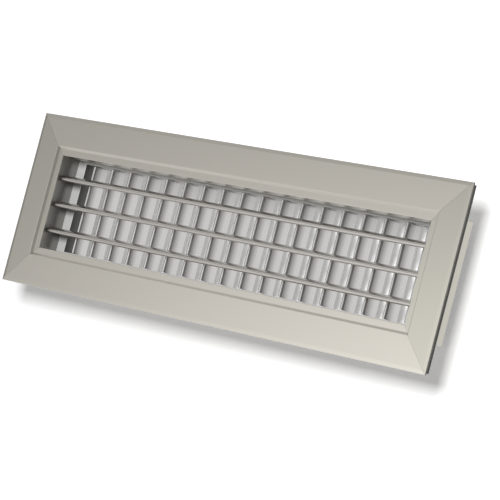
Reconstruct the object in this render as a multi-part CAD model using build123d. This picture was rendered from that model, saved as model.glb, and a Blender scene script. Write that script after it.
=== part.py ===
from build123d import *
import os

# Double deflection wall grille: a mitred frame with a flange that covers the edge of the opening,
# a front row of level blades and a rear row of upright blades, each blade turning by itself.
# Units are mm. X runs along the width, Z is up, the front faces -Y and the neck goes back along +Y.
# The origin is the centre of the opening, in the plane of the wall.

os.makedirs("parts", exist_ok=True)

# The opening in the wall, and how the frame meets it
opening_w = 450.0
opening_h = 100.0
overhang = 25.0
neck_play = 0.5
gasket_t = 4.0
gasket_w = 10.0
gasket_inset = 1.5

# Section of the frame's extrusion
flange_t = 2.0
rim_w = 3.0
rim_fall = 0.5
rim_round = 0.8
step_fall = 2.0
step_run = 2.0
step_set = 1.0
ledge_t = 1.6
neck_t = 1.5
channel_w = 5.6
web_t = 1.4
edge_round = 0.5
mitre_gap = 0.1

# One blade extrusion serves both rows
blade_chord = 16.0
nose_r = 1.9
nose_turn_deg = 80.0
tail_thick = 0.9
blade_end_play = 0.5

# Rows of blades
front_blades = 3
front_pitch = 23.0
front_setback = 5.3
front_tilt_deg = 15.0
rear_blades = 18
rear_end_room = 9.6
row_gap = 2.0

# Nylon pins that carry the blades
pin_r = 1.5
pin_play = 0.05
pin_rib = 1.2
stem_play = 0.02
stem_length = 8.0
pin_past_web = 1.0

# Carriers that hold the rear row. They snap in behind a bead on the neck's rear edge.
bead_w = 0.7
bead_h = 0.8
carrier_t = 1.2
carrier_inset = 2.0
side_carrier_inset = 9.7
carrier_end_play = 0.2

# Corner cleats in the channel between neck and web
cleat_leg = 30.0
cleat_pin_room = 5.0
cleat_depth = 16.0
cleat_play = 0.1

# Concealed fixing screws go through the neck, reached through a wider hole in the carrier
fixing_r = 2.1
fixing_access_r = 3.5
fixing_setback = 7.0

# Lines that several pieces share. Depths are measured back from the flange's face.
face_w = opening_w + 2 * overhang
face_h = opening_h + 2 * overhang
face_y = -(gasket_t + flange_t)
neck_out = overhang + neck_play
neck_in = neck_out + neck_t
web_out = neck_in + channel_w
ledge_in = web_out + web_t
front_pivot = front_setback + blade_chord / 2
web_end = front_setback + blade_chord + row_gap / 2
rear_nose = web_end + row_gap / 2
rear_pivot = rear_nose + blade_chord / 2
rear_tail = rear_nose + blade_chord
neck_depth = rear_tail + bead_w
carrier_in = ledge_in + carrier_inset
side_carrier_in = ledge_in + side_carrier_inset
pin_span = 2 * (pin_r**2 - pin_rib**2 / 4) ** 0.5
port_w = pin_span + 2 * stem_play
rear_pitch = (face_w - 2 * (side_carrier_in + rear_end_room)) / (rear_blades - 1)
rear_first = -(rear_blades - 1) / 2 * rear_pitch
front_first = -(front_blades - 1) / 2 * front_pitch
# The fixing screws stand midway between the two outermost blades
fixing_x = -rear_first - rear_pitch / 2
fixing_depth = neck_depth - fixing_setback
reach = face_w + face_h


def y_at(depth):
    """World Y of a depth measured back from the flange's face."""
    return face_y + depth


def bottom_plane():
    """Plane whose X runs up from the bottom edge of the flange and whose Y runs back."""
    return Plane(origin=(0, face_y, -face_h / 2), x_dir=(0, 0, 1), z_dir=(-1, 0, 0))


def right_plane():
    """Plane whose X runs in from the right edge of the flange and whose Y runs back."""
    return Plane(origin=(face_w / 2, face_y, 0), x_dir=(-1, 0, 0), z_dir=(0, 0, -1))


def corner(sketch, inward, depth):
    """The vertex of a section at this distance in and this depth."""
    return sketch.vertices().sort_by_distance((inward, depth, 0))[0]


def frame_section():
    """Flange, sloped step, ledge, neck wall with its rear bead, and inner web of the frame's extrusion."""
    step = neck_out + step_set
    outline = Polyline(
        (0, rim_fall),
        (rim_w, 0),
        (step, 0),
        (step + step_run, step_fall),
        (ledge_in, step_fall),
        (ledge_in, web_end),
        (web_out, web_end),
        (web_out, step_fall + ledge_t),
        (neck_in, step_fall + ledge_t),
        (neck_in, rear_tail),
        (neck_in + bead_h, rear_tail),
        (neck_in + bead_h, neck_depth),
        (neck_out, neck_depth),
        (neck_out, flange_t),
        (0, flange_t),
        close=True,
    )
    section = make_face(outline)
    section = fillet(corner(section, rim_w, 0), rim_round)
    section = fillet(corner(section, step, 0), edge_round)
    return fillet(corner(section, ledge_in, step_fall), edge_round)


def carrier_section(inner):
    """Channel open to the back, from the neck's inner face to this distance in."""
    outline = Polyline(
        (neck_in, web_end),
        (inner, web_end),
        (inner, rear_tail),
        (inner - carrier_t, rear_tail),
        (inner - carrier_t, web_end + carrier_t),
        (neck_in + carrier_t, web_end + carrier_t),
        (neck_in + carrier_t, rear_tail),
        (neck_in, rear_tail),
        close=True,
    )
    section = make_face(outline)
    return fillet(corner(section, inner, web_end), edge_round)


def blade_section():
    """Teardrop with a round nose at 0, slightly full flanks, a thin square tail and a square port."""
    nose = CenterArc((nose_r, 0), nose_r, 180, -nose_turn_deg)
    flank = TangentArc(nose @ 1, (blade_chord, tail_thick / 2), tangent=nose % 1)
    tail = Line((blade_chord, tail_thick / 2), (blade_chord, -tail_thick / 2))
    outline = make_face(nose + flank + tail + mirror(flank, Plane.XZ) + mirror(nose, Plane.XZ))
    return outline - Pos(blade_chord / 2, 0) * Rectangle(port_w, port_w)


def rod(radius, start, end):
    """Round bar between two points."""
    line = Vector(end) - Vector(start)
    return extrude(Plane(origin=start, z_dir=line) * Circle(radius), line.length)


def level_member():
    """Bottom length of the frame, mitred at both ends."""
    bar = extrude(bottom_plane() * frame_section(), reach, both=True)
    back = mitre_gap * 2**0.5 / 2
    half_w = face_w / 2 - back
    half_h = face_h / 2
    cut = half_w - half_h
    saw = Plane.XZ * make_face(
        Polyline((-half_w, -half_h), (half_w, -half_h), (cut, 0), (-cut, 0), close=True)
    )
    return bar & extrude(saw, reach, both=True)


def upright_member():
    """Right length of the frame, mitred at both ends."""
    bar = extrude(right_plane() * frame_section(), reach, both=True)
    back = mitre_gap * 2**0.5 / 2
    half_w = face_w / 2
    half_h = face_h / 2 - back
    saw = Plane.XZ * make_face(
        Polyline((half_w, -half_h), (half_w, half_h), (half_w - half_h, 0), close=True)
    )
    return bar & extrude(saw, reach, both=True)


# Where holes and their fasteners stand
front_rows = [front_first + i * front_pitch for i in range(front_blades)]
rear_columns = [rear_first + i * rear_pitch for i in range(rear_blades)]
carrier_half = face_w / 2 - side_carrier_in - carrier_end_play
side_carrier_half = face_h / 2 - neck_in - carrier_end_play


def fixing_hole(x, radius, low, high):
    """Hole along Z for a fixing screw, between two distances in from the bottom edge."""
    y = y_at(fixing_depth)
    return rod(radius, (x, y, low - face_h / 2), (x, y, high - face_h / 2))


# Frame
bottom = level_member()
for x in (-fixing_x, fixing_x):
    bottom -= fixing_hole(x, fixing_r, 0, neck_in + carrier_t / 2)
top = mirror(bottom, Plane.XY)

right = upright_member()
for z in front_rows:
    inner = face_w / 2 - ledge_in - web_t
    outer = face_w / 2 - web_out + web_t
    y = y_at(front_pivot)
    right -= rod(pin_r + pin_play, (inner, y, z), (outer, y, z))
left = mirror(right, Plane.YZ)

# Gasket strips stuck to the back of the flange: long ones right across, short ones between them
gasket_long = face_w - 2 * gasket_inset
gasket_short = face_h - 2 * (gasket_inset + gasket_w)
gasket_mid_y = y_at(flange_t + gasket_t / 2)
gasket_z = face_h / 2 - gasket_inset - gasket_w / 2
gasket_x = face_w / 2 - gasket_inset - gasket_w / 2
gasket_top = Pos(0, gasket_mid_y, gasket_z) * Box(gasket_long, gasket_t, gasket_w)
gasket_bottom = mirror(gasket_top, Plane.XY)
gasket_right = Pos(gasket_x, gasket_mid_y, 0) * Box(gasket_w, gasket_t, gasket_short)
gasket_left = mirror(gasket_right, Plane.YZ)


def cleat():
    """L-shaped key in the bottom right corner, between the neck wall and the web."""
    outer_x = face_w / 2 - neck_in - cleat_play
    outer_z = face_h / 2 - neck_in - cleat_play
    wide = channel_w - 2 * cleat_play
    front = y_at(step_fall + ledge_t + cleat_play)
    # The upright leg stops short of the outermost level blade's pin
    rise = outer_z + front_first - cleat_pin_room
    level = Pos(outer_x - cleat_leg / 2, 0, wide / 2 - outer_z) * Box(cleat_leg, cleat_depth, wide)
    upright = Pos(outer_x - wide / 2, 0, rise / 2 - outer_z) * Box(wide, cleat_depth, rise)
    return Pos(0, front + cleat_depth / 2, 0) * (level + upright)


right_cleats = [cleat(), mirror(cleat(), Plane.XY)]
cleats = Compound(right_cleats + [mirror(key, Plane.YZ) for key in right_cleats])

# Carriers
carrier_bottom = extrude(bottom_plane() * carrier_section(carrier_in), carrier_half, both=True)
for x in rear_columns:
    low = carrier_in - 2 * carrier_t
    high = carrier_in + carrier_t
    y = y_at(rear_pivot)
    carrier_bottom -= rod(pin_r + pin_play, (x, y, low - face_h / 2), (x, y, high - face_h / 2))
for x in (-fixing_x, fixing_x):
    carrier_bottom -= fixing_hole(x, fixing_r, 0, neck_in + 2 * carrier_t)
    carrier_bottom -= fixing_hole(x, fixing_access_r, carrier_in - 2 * carrier_t, carrier_in + carrier_t)
carrier_top = mirror(carrier_bottom, Plane.XY)

carrier_right = extrude(right_plane() * carrier_section(side_carrier_in), side_carrier_half, both=True)
carrier_left = mirror(carrier_right, Plane.YZ)

# Blades and their pins
section = blade_section()
front_half = face_w / 2 - ledge_in - blade_end_play
rear_half = face_h / 2 - carrier_in - blade_end_play
front_pin_end = face_w / 2 - web_out + pin_past_web
rear_pin_end = face_h / 2 - carrier_in + carrier_t + pin_past_web


def front_plane(z):
    """Plane on the pivot of a level blade, whose X runs back along its chord, with the nose set down."""
    chord = Vector(0, 1, 0).rotate(Axis.X, front_tilt_deg)
    return Plane(origin=(0, y_at(front_pivot), z), x_dir=chord, z_dir=(1, 0, 0))


def rear_plane(x):
    """Plane on the pivot of an upright blade, whose X runs back along its chord."""
    return Plane(origin=(x, y_at(rear_pivot), 0), x_dir=(0, 1, 0), z_dir=(0, 0, 1))


def blade(plane, half):
    """Blade turning about a plane's origin, and this long each way from it."""
    return extrude(plane * Pos(-blade_chord / 2, 0) * section, half, both=True)


def pin(plane, blade_end, journal_end):
    """Cross-ribbed nylon pin along a plane's Z, pressed in the blade's port and turning in the hole."""
    ribs = Rectangle(pin_span, pin_rib) + Rectangle(pin_rib, pin_span)
    start = blade_end - stem_length
    return extrude(plane.offset(start) * ribs, journal_end - start)


def front_pins(z):
    """The two pins of a level blade."""
    right_pin = pin(front_plane(z), front_half, front_pin_end)
    return Compound([right_pin, mirror(right_pin, Plane.YZ)])


def rear_pins(x):
    """The two pins of an upright blade."""
    top_pin = pin(rear_plane(x), rear_half, rear_pin_end)
    return Compound([top_pin, mirror(top_pin, Plane.XY)])


pieces = {
    "frame_top": top,
    "frame_bottom": bottom,
    "frame_left": left,
    "frame_right": right,
    "gasket_top": gasket_top,
    "gasket_bottom": gasket_bottom,
    "gasket_left": gasket_left,
    "gasket_right": gasket_right,
    "corner_cleats": cleats,
    "rear_carrier_top": carrier_top,
    "rear_carrier_bottom": carrier_bottom,
    "rear_carrier_left": carrier_left,
    "rear_carrier_right": carrier_right,
}
for number, z in enumerate(front_rows, start=1):
    pieces[f"front_blade_{number}"] = blade(front_plane(z), front_half)
    pieces[f"front_pivots_{number}"] = front_pins(z)
for number, x in enumerate(rear_columns, start=1):
    pieces[f"rear_blade_{number:02d}"] = blade(rear_plane(x), rear_half)
    pieces[f"rear_pivots_{number:02d}"] = rear_pins(x)

for name, piece in pieces.items():
    export_step(piece, f"parts/{name}.step")
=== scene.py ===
import bpy
from mathutils import Matrix, Vector


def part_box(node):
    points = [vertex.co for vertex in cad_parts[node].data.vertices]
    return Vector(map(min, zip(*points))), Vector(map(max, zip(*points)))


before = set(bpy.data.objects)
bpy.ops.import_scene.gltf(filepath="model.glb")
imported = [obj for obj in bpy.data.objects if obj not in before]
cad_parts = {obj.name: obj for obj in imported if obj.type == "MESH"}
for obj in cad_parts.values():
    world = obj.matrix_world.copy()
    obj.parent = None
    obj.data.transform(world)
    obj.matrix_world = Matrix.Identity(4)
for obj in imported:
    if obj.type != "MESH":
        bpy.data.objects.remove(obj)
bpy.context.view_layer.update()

# Places in the object, in metres
BLADE_END_PLAY = 0.001
DUCT_INSET = 0.012
FACE_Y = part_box("frame_left")[0][1]
CARRIER_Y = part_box("rear_carrier_left")[0][1]
REAR_NOSE_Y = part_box("rear_blade_01")[0][1]
WEB_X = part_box("front_blade_1")[1][0] + BLADE_END_PLAY
DUCT_HALF_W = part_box("rear_carrier_right")[1][0] - DUCT_INSET
DUCT_HALF_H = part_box("rear_carrier_top")[1][2]

# Aluminium of the frame, and painted shade on its walls inside the opening, which begins this far behind
# the face
FRAME_LEVEL = (0.64, 0.61, 0.55)
# The uprights take a darker copy of the same aluminium, as painted shade for how their upright grain
# reflects the light
FRAME_UPRIGHT = (0.565, 0.545, 0.485)
FRAME_INSIDE_SHADE = (0.33, 0.325, 0.31)
FRAME_ROUGH = 0.30
INSIDE_FROM = 0.0025
INSIDE_TO = 0.0035

# Aluminium of the blades. The upright ones carry painted shade just behind the nose, by distances from its
# front.
BLADE_LEVEL = (0.55, 0.53, 0.50)
BLADE_LEVEL_ROUGH = 0.30
BLADE_UPRIGHT = (0.74, 0.73, 0.72)
BLADE_UPRIGHT_ROUGH = 0.28
BLADE_NOSE_SHADE = (0.40, 0.39, 0.38)
NOSE_SHADE_PART = 0.35
NOSE_END = 0.0009
NOSE_SHADE_FROM = 0.0016
NOSE_SHADE_TO = 0.0019
FLANK_FROM = 0.0090

# Carriers: the pale plate in front is this thin, and duller metal lies behind it. On the side carriers that
# metal is much darker, as painted shade
CARRIER_PLATE = (0.62, 0.62, 0.61)
PLATE_METALLIC = 0.15
PLATE_FROM = 0.0003
PLATE_TO = 0.0006
SIDE_CARRIER_WALL_SHADE = (0.16, 0.16, 0.155)
LEVEL_CARRIER_WALL = (0.50, 0.49, 0.47)
CARRIER_WALL_METALLIC = 0.9
CARRIER_ROUGH = 0.45

# Cleats, pins and gasket
CLEAT_COLOR = (0.45, 0.45, 0.45)
CLEAT_ROUGH = 0.6
NYLON_COLOR = (0.70, 0.69, 0.65)
NYLON_ROUGH = 0.5
FOAM_COLOR = (0.10, 0.10, 0.097)
FOAM_ROUGH = 0.95
FOAM_SPECULAR = 0.1
MOTTLE = 0.1
MOTTLE_SCALE = 400.0

# Drawn lines of an extrusion: noise scales, the part of the noise that is used, and its reach in roughness
LINES_ACROSS = 2200.0
LINES_ALONG = 12.0
LINES_DETAIL = 2.0
NOISE_LOW = 0.3
NOISE_HIGH = 0.7
GRAIN = 0.012
BLADE_LEVEL_GRAIN = 0.006
CARRIER_GRAIN = 0.02

# Pale card behind: its place, size and colour, and what is added for the camera outside and inside the
# duct, where the smaller lift is painted shadow
WALL_CENTRE = (0, 0.045, 0)
WALL_SIZE = 6.0
CARD_COLOR = 0.95
CARD_LIFT = 0.28
DUCT_LIFT = 0.25

# In metal it carries painted shade inside the duct, which runs up it, and painted shadow to the right of
# the neck.
# Each ramp with four numbers here runs between two places and, for them, between two values.
DUCT_SHADE = (0.018, 0.042, 0.22, 0.42)
EDGE_DARK_FROM = 0.277
EDGE_DARK_TO = 0.290
EDGE_DARK = 0.12

# Card in front, to the left. Across and down run from 0 to 1 over the part that the flange shows.
REFLECTOR_CENTRE = (-0.72, -0.60, 0.053)
REFLECTOR_WIDTH = 1.76
REFLECTOR_HEIGHT = 1.0
REFLECTOR_ACROSS = (-0.88, 0.58, -0.67, 1.25)
REFLECTOR_DOWN = (0.15, -0.13, -0.20, 1.20)
REFLECTOR_LEVEL = 0.48
REFLECTOR_SIDE = 0.18
REFLECTOR_LOW_RIGHT = 0.56

# Lamp
KEY_PLACE = (1.25, -2.30, 0.42)
KEY_SIZE = 0.8
KEY_POWER = 75

# Room: what metal shows of it to the camera's side, down to the left and up to the left, and how it lights
# what is matt. Up, down and left run between these two parts of a direction.
ROOM_LEVEL = 0.25
ROOM_DOWN_LEFT = 0.95
ROOM_UP_LEFT = 0.90
ROOM_DIFFUSE = 0.14
ROOM_DOWN = (-0.15, -0.60)
ROOM_UP = (0.20, 0.60)
ROOM_LEFT = (0.10, -0.50)


# Node helpers
def new_material(name):
    """Material with one Principled shader on its output."""
    mat = bpy.data.materials.new(name)
    mat.use_nodes = True
    tree = mat.node_tree
    tree.nodes.clear()
    out = tree.nodes.new("ShaderNodeOutputMaterial")
    shader = tree.nodes.new("ShaderNodeBsdfPrincipled")
    tree.links.new(shader.outputs["BSDF"], out.inputs["Surface"])
    return mat, tree, shader


def output_node(tree):
    """Output node of a material or of the world."""
    return next(node for node in tree.nodes if node.type.startswith("OUTPUT"))


def math_node(tree, operation, *operands):
    """One Math node. Each operand is a number or another node's socket."""
    node = tree.nodes.new("ShaderNodeMath")
    node.operation = operation
    for socket, value in zip(node.inputs, operands):
        if isinstance(value, (int, float)):
            socket.default_value = value
        else:
            tree.links.new(value, socket)
    return node.outputs[0]


def ramp_node(tree, value, start, end, low, high):
    """Value mapped in a straight line from start..end to low..high, and held beyond them."""
    node = tree.nodes.new("ShaderNodeMapRange")
    node.inputs["From Min"].default_value = start
    node.inputs["From Max"].default_value = end
    node.inputs["To Min"].default_value = low
    node.inputs["To Max"].default_value = high
    tree.links.new(value, node.inputs["Value"])
    return node.outputs["Result"]


def object_axis(tree, axis):
    """Socket with the object coordinate along one axis."""
    coords = tree.nodes.new("ShaderNodeTexCoord")
    split = tree.nodes.new("ShaderNodeSeparateXYZ")
    tree.links.new(coords.outputs["Object"], split.inputs["Vector"])
    return split.outputs[axis]


def color_mix(tree, factor, first, second):
    """Socket with the first colour where the factor is 0 and the second where it is 1."""
    mix = tree.nodes.new("ShaderNodeMix")
    mix.data_type = "RGBA"
    mix.inputs["A"].default_value = (*first, 1)
    mix.inputs["B"].default_value = (*second, 1)
    tree.links.new(factor, mix.inputs["Factor"])
    return mix.outputs["Result"]


def shader_mix(tree, factor, first, second):
    """Socket with the first shader where the factor is 0 and the second where it is 1."""
    node = tree.nodes.new("ShaderNodeMixShader")
    tree.links.new(factor, node.inputs["Fac"])
    tree.links.new(first, node.inputs[1])
    tree.links.new(second, node.inputs[2])
    return node.outputs["Shader"]


# Materials
def painted_shade_inside(tree):
    """Painted shade mask: 1 on the walls that face the opening, behind the ledge, and 0 elsewhere on the
    frame.
    """
    across = math_node(tree, "ABSOLUTE", object_axis(tree, "X"))
    within = math_node(tree, "LESS_THAN", across, WEB_X)
    depth = object_axis(tree, "Y")
    behind = ramp_node(tree, depth, FACE_Y + INSIDE_FROM, FACE_Y + INSIDE_TO, 0.0, 1.0)
    return math_node(tree, "MULTIPLY", within, behind)


def painted_shade_behind_nose(tree):
    """Painted shade mask: 1 just behind an upright blade's round nose, less on the nose, and 0 from half
    way along.
    """
    depth = object_axis(tree, "Y")
    start = ramp_node(tree, depth, REAR_NOSE_Y + NOSE_END, REAR_NOSE_Y + NOSE_SHADE_FROM, NOSE_SHADE_PART, 1.0)
    fade = ramp_node(tree, depth, REAR_NOSE_Y + NOSE_SHADE_TO, REAR_NOSE_Y + FLANK_FROM, 1.0, 0.0)
    return math_node(tree, "MULTIPLY", start, fade)


def drawn_lines(tree, shader, rough, grain_axis, grain):
    """Roughness that varies by the grain, in noise stretched along one axis."""
    coords = tree.nodes.new("ShaderNodeTexCoord")
    mapping = tree.nodes.new("ShaderNodeMapping")
    scale = [LINES_ACROSS, LINES_ACROSS, LINES_ACROSS]
    scale["XYZ".index(grain_axis)] = LINES_ALONG
    mapping.inputs["Scale"].default_value = scale
    noise = tree.nodes.new("ShaderNodeTexNoise")
    noise.inputs["Scale"].default_value = 1.0
    noise.inputs["Detail"].default_value = LINES_DETAIL
    tree.links.new(coords.outputs["Object"], mapping.inputs["Vector"])
    tree.links.new(mapping.outputs["Vector"], noise.inputs["Vector"])
    varied = ramp_node(tree, noise.outputs["Fac"], NOISE_LOW, NOISE_HIGH, rough - grain, rough + grain)
    tree.links.new(varied, shader.inputs["Roughness"])


def aluminium(name, color, rough, grain_axis, grain=GRAIN, shade_color=None, where=None):
    """Satin anodised aluminium with faint drawn lines, and a second, darker colour as painted shade where
    asked.
    """
    mat, tree, shader = new_material(name)
    shader.inputs["Metallic"].default_value = 1.0
    drawn_lines(tree, shader, rough, grain_axis, grain)
    if where is None:
        shader.inputs["Base Color"].default_value = (*color, 1)
    else:
        mixed = color_mix(tree, where(tree), color, shade_color)
        tree.links.new(mixed, shader.inputs["Base Color"])
    return mat


def plain(name, color, rough, specular=0.5):
    """Moulded or foamed material with a faint mottle."""
    mat, tree, shader = new_material(name)
    shader.inputs["Specular IOR Level"].default_value = specular
    shader.inputs["Roughness"].default_value = rough
    noise = tree.nodes.new("ShaderNodeTexNoise")
    noise.inputs["Scale"].default_value = MOTTLE_SCALE
    coords = tree.nodes.new("ShaderNodeTexCoord")
    tree.links.new(coords.outputs["Object"], noise.inputs["Vector"])
    darker = [(1 - MOTTLE) * part for part in color]
    lighter = [min((1 + MOTTLE) * part, 1.0) for part in color]
    mottled = color_mix(tree, noise.outputs["Fac"], darker, lighter)
    tree.links.new(mottled, shader.inputs["Base Color"])
    return mat


def carrier_finish(name, wall, grain_axis):
    """Carrier channel: a pale, matt front plate and duller metal walls, with faint drawn lines. On the side
    carriers the wall colour is painted shade.
    """
    mat, tree, shader = new_material(name)
    depth = object_axis(tree, "Y")
    back = ramp_node(tree, depth, CARRIER_Y + PLATE_FROM, CARRIER_Y + PLATE_TO, 0.0, 1.0)
    mixed = color_mix(tree, back, CARRIER_PLATE, wall)
    tree.links.new(mixed, shader.inputs["Base Color"])
    metallic = ramp_node(tree, back, 0.0, 1.0, PLATE_METALLIC, CARRIER_WALL_METALLIC)
    tree.links.new(metallic, shader.inputs["Metallic"])
    drawn_lines(tree, shader, CARRIER_ROUGH, grain_axis, CARRIER_GRAIN)
    return mat


metal_x = aluminium("metal_x", FRAME_LEVEL, FRAME_ROUGH, "X")
# The uprights' walls inside the opening get painted shade
metal_z = aluminium(
    "metal_z", FRAME_UPRIGHT, FRAME_ROUGH, "Z", shade_color=FRAME_INSIDE_SHADE, where=painted_shade_inside
)
blade_x = aluminium("blade_x", BLADE_LEVEL, BLADE_LEVEL_ROUGH, "X", grain=BLADE_LEVEL_GRAIN)
# Upright blades get painted shade behind the nose
blade_z = aluminium(
    "blade_z", BLADE_UPRIGHT, BLADE_UPRIGHT_ROUGH, "Z", shade_color=BLADE_NOSE_SHADE, where=painted_shade_behind_nose
)
# The side carriers' dark walls are painted shade
side_carrier = carrier_finish("side_carrier", SIDE_CARRIER_WALL_SHADE, "Z")
level_carrier = carrier_finish("level_carrier", LEVEL_CARRIER_WALL, "X")
cleat = plain("cleat", CLEAT_COLOR, CLEAT_ROUGH)
nylon = plain("nylon", NYLON_COLOR, NYLON_ROUGH)
foam = plain("foam", FOAM_COLOR, FOAM_ROUGH, specular=FOAM_SPECULAR)

# Which nodes of the part take which material, by the start of their names
finishes = {
    "frame_top": metal_x,
    "frame_bottom": metal_x,
    "frame_left": metal_z,
    "frame_right": metal_z,
    "front_blade": blade_x,
    "rear_blade": blade_z,
    "rear_carrier_left": side_carrier,
    "rear_carrier_right": side_carrier,
    "rear_carrier_top": level_carrier,
    "rear_carrier_bottom": level_carrier,
    "corner_cleats": cleat,
    "front_pivots": nylon,
    "rear_pivots": nylon,
    "gasket": foam,
}
for name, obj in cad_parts.items():
    finish = next(mat for start, mat in finishes.items() if name.startswith(start))
    for slot in obj.material_slots:
        slot.material = finish

# Camera, as fitted to the photo
scene = bpy.context.scene
cam_data = bpy.data.cameras.new("camera")
cam = bpy.data.objects.new("camera", cam_data)
scene.collection.objects.link(cam)
cam_right = Vector((0.69290, 0.67553, 0.25210))
cam_up = Vector((-0.13698, -0.21994, 0.96585))
cam_back = Vector((0.70790, -0.70377, -0.05987))
cam_place = Vector((1.74221, -1.70148, -0.15244))
turn = Matrix((cam_right, cam_up, cam_back)).transposed()
cam.matrix_world = Matrix.Translation(cam_place) @ turn.to_4x4()
cam_data.lens = 216.23
cam_data.sensor_width = 36.0
cam_data.clip_start = 0.05
cam_data.clip_end = 50.0
scene.camera = cam


# Stage
def card(name, centre, width, height, mat):
    """Upright card that faces forward, with its own X to the right and its own Y up."""
    mesh = bpy.data.meshes.new(name)
    signs = ((-1, -1), (1, -1), (1, 1), (-1, 1))
    corners = [(x * width / 2, y * height / 2, 0) for x, y in signs]
    mesh.from_pydata(corners, [], [(0, 1, 2, 3)])
    mesh.materials.append(mat)
    obj = bpy.data.objects.new(name, mesh)
    scene.collection.objects.link(obj)
    upright = Matrix((Vector((1, 0, 0)), Vector((0, 0, 1)), Vector((0, -1, 0)))).transposed()
    obj.matrix_world = Matrix.Translation(centre) @ upright.to_4x4()
    return obj


def wall_material():
    """Pale card, seen from its front only. It takes the soft shadow and is bright in metal, with painted
    shade inside the duct and painted shadow to the right of the neck.
    """
    mat, tree, shader = new_material("card")
    shader.inputs["Base Color"].default_value = (CARD_COLOR, CARD_COLOR, CARD_COLOR, 1)
    shader.inputs["Roughness"].default_value = 1.0
    shader.inputs["Specular IOR Level"].default_value = 0.0
    geometry = tree.nodes.new("ShaderNodeNewGeometry")
    path = tree.nodes.new("ShaderNodeLightPath")
    clear = tree.nodes.new("ShaderNodeBsdfTransparent")
    across = math_node(tree, "ABSOLUTE", object_axis(tree, "X"))
    height = math_node(tree, "ABSOLUTE", object_axis(tree, "Y"))
    in_width = math_node(tree, "LESS_THAN", across, DUCT_HALF_W)
    in_height = math_node(tree, "LESS_THAN", height, DUCT_HALF_H)
    duct = math_node(tree, "MULTIPLY", in_width, in_height)
    place = object_axis(tree, "X")
    # Painted shadow in metal to the right of the neck, and painted shade inside the duct
    edge = ramp_node(tree, place, EDGE_DARK_FROM, EDGE_DARK_TO, 1.0, EDGE_DARK)
    duct_shade = ramp_node(tree, object_axis(tree, "Y"), *DUCT_SHADE)
    shade = math_node(tree, "MULTIPLY", duct, duct_shade)
    glow = tree.nodes.new("ShaderNodeEmission")
    tree.links.new(math_node(tree, "SUBTRACT", edge, shade), glow.inputs["Strength"])
    lift = tree.nodes.new("ShaderNodeEmission")
    # Less lift inside the duct: painted shadow on the card
    lift_level = ramp_node(tree, duct, 0.0, 1.0, CARD_LIFT, DUCT_LIFT)
    tree.links.new(lift_level, lift.inputs["Strength"])
    lifted = tree.nodes.new("ShaderNodeAddShader")
    tree.links.new(shader.outputs["BSDF"], lifted.inputs[0])
    tree.links.new(lift.outputs["Emission"], lifted.inputs[1])
    bare = shader.outputs["BSDF"]
    seen = shader_mix(tree, path.outputs["Is Camera Ray"], bare, lifted.outputs["Shader"])
    in_metal = shader_mix(tree, path.outputs["Is Glossy Ray"], seen, glow.outputs["Emission"])
    one_side = shader_mix(tree, geometry.outputs["Backfacing"], in_metal, clear.outputs["BSDF"])
    tree.links.new(one_side, output_node(tree).inputs["Surface"])
    mat.cycles.emission_sampling = "NONE"
    return mat


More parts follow.
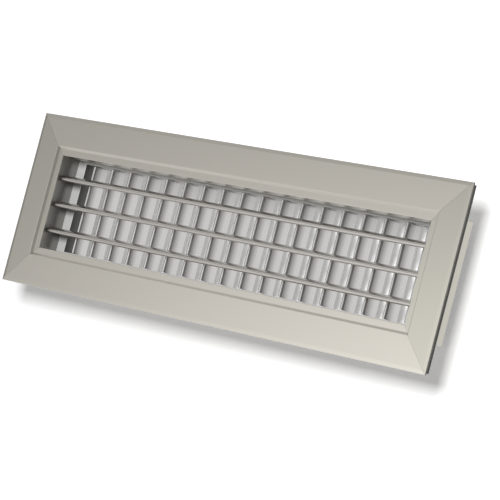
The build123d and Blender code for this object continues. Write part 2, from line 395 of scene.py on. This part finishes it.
def reflector_material():
    """Card that only shows in metal. It is brighter to either side, and most at the lower right."""
    mat, tree, shader = new_material("reflector")
    tree.nodes.remove(shader)
    across = ramp_node(tree, object_axis(tree, "X"), *REFLECTOR_ACROSS)
    down = ramp_node(tree, object_axis(tree, "Y"), *REFLECTOR_DOWN)
    both = math_node(tree, "MULTIPLY", math_node(tree, "MAXIMUM", across, 0.0), down)
    aside = math_node(tree, "MULTIPLY", math_node(tree, "ABSOLUTE", across), REFLECTOR_SIDE)
    low_right = math_node(tree, "MULTIPLY", both, REFLECTOR_LOW_RIGHT)
    varied = math_node(tree, "ADD", aside, low_right)
    total = math_node(tree, "ADD", varied, REFLECTOR_LEVEL)
    glow = tree.nodes.new("ShaderNodeEmission")
    tree.links.new(total, glow.inputs["Strength"])
    clear = tree.nodes.new("ShaderNodeBsdfTransparent")
    path = tree.nodes.new("ShaderNodeLightPath")
    glossy = path.outputs["Is Glossy Ray"]
    shown = shader_mix(tree, glossy, clear.outputs["BSDF"], glow.outputs["Emission"])
    tree.links.new(shown, output_node(tree).inputs["Surface"])
    mat.cycles.emission_sampling = "NONE"
    return mat


card("wall_card", WALL_CENTRE, WALL_SIZE, WALL_SIZE, wall_material())
card("front_card", REFLECTOR_CENTRE, REFLECTOR_WIDTH, REFLECTOR_HEIGHT, reflector_material())

# Light, aimed at the centre of the opening and not seen in the metal
key_data = bpy.data.lights.new("key", "AREA")
key_data.size = KEY_SIZE
key_data.energy = KEY_POWER
key = bpy.data.objects.new("key", key_data)
scene.collection.objects.link(key)
key.location = KEY_PLACE
key.rotation_mode = "QUATERNION"
key.rotation_quaternion = (-Vector(KEY_PLACE)).to_track_quat("-Z", "Y")
key.visible_glossy = False

# World
world = bpy.data.worlds.new("world")
scene.world = world
world.use_nodes = True
tree = world.node_tree


def background(strength):
    """White background. Its strength is a number or another node's socket."""
    node = tree.nodes.new("ShaderNodeBackground")
    node.inputs["Color"].default_value = (1, 1, 1, 1)
    if isinstance(strength, (int, float)):
        node.inputs["Strength"].default_value = strength
    else:
        tree.links.new(strength, node.inputs["Strength"])
    return node.outputs["Background"]


coords = tree.nodes.new("ShaderNodeTexCoord")
split = tree.nodes.new("ShaderNodeSeparateXYZ")
tree.links.new(coords.outputs["Generated"], split.inputs["Vector"])
down = ramp_node(tree, split.outputs["Z"], *ROOM_DOWN, 0.0, ROOM_DOWN_LEFT - ROOM_LEVEL)
up = ramp_node(tree, split.outputs["Z"], *ROOM_UP, 0.0, ROOM_UP_LEFT - ROOM_LEVEL)
left = ramp_node(tree, split.outputs["X"], *ROOM_LEFT, 0.0, 1.0)
up_or_down = math_node(tree, "ADD", up, down)
brighter = math_node(tree, "MULTIPLY", up_or_down, left)
room = math_node(tree, "ADD", brighter, ROOM_LEVEL)
path = tree.nodes.new("ShaderNodeLightPath")
lit = shader_mix(tree, path.outputs["Is Glossy Ray"], background(ROOM_DIFFUSE), background(room))
seen = shader_mix(tree, path.outputs["Is Camera Ray"], lit, background(1.0))
tree.links.new(seen, output_node(tree).inputs["Surface"])

scene.view_settings.view_transform = "Standard"
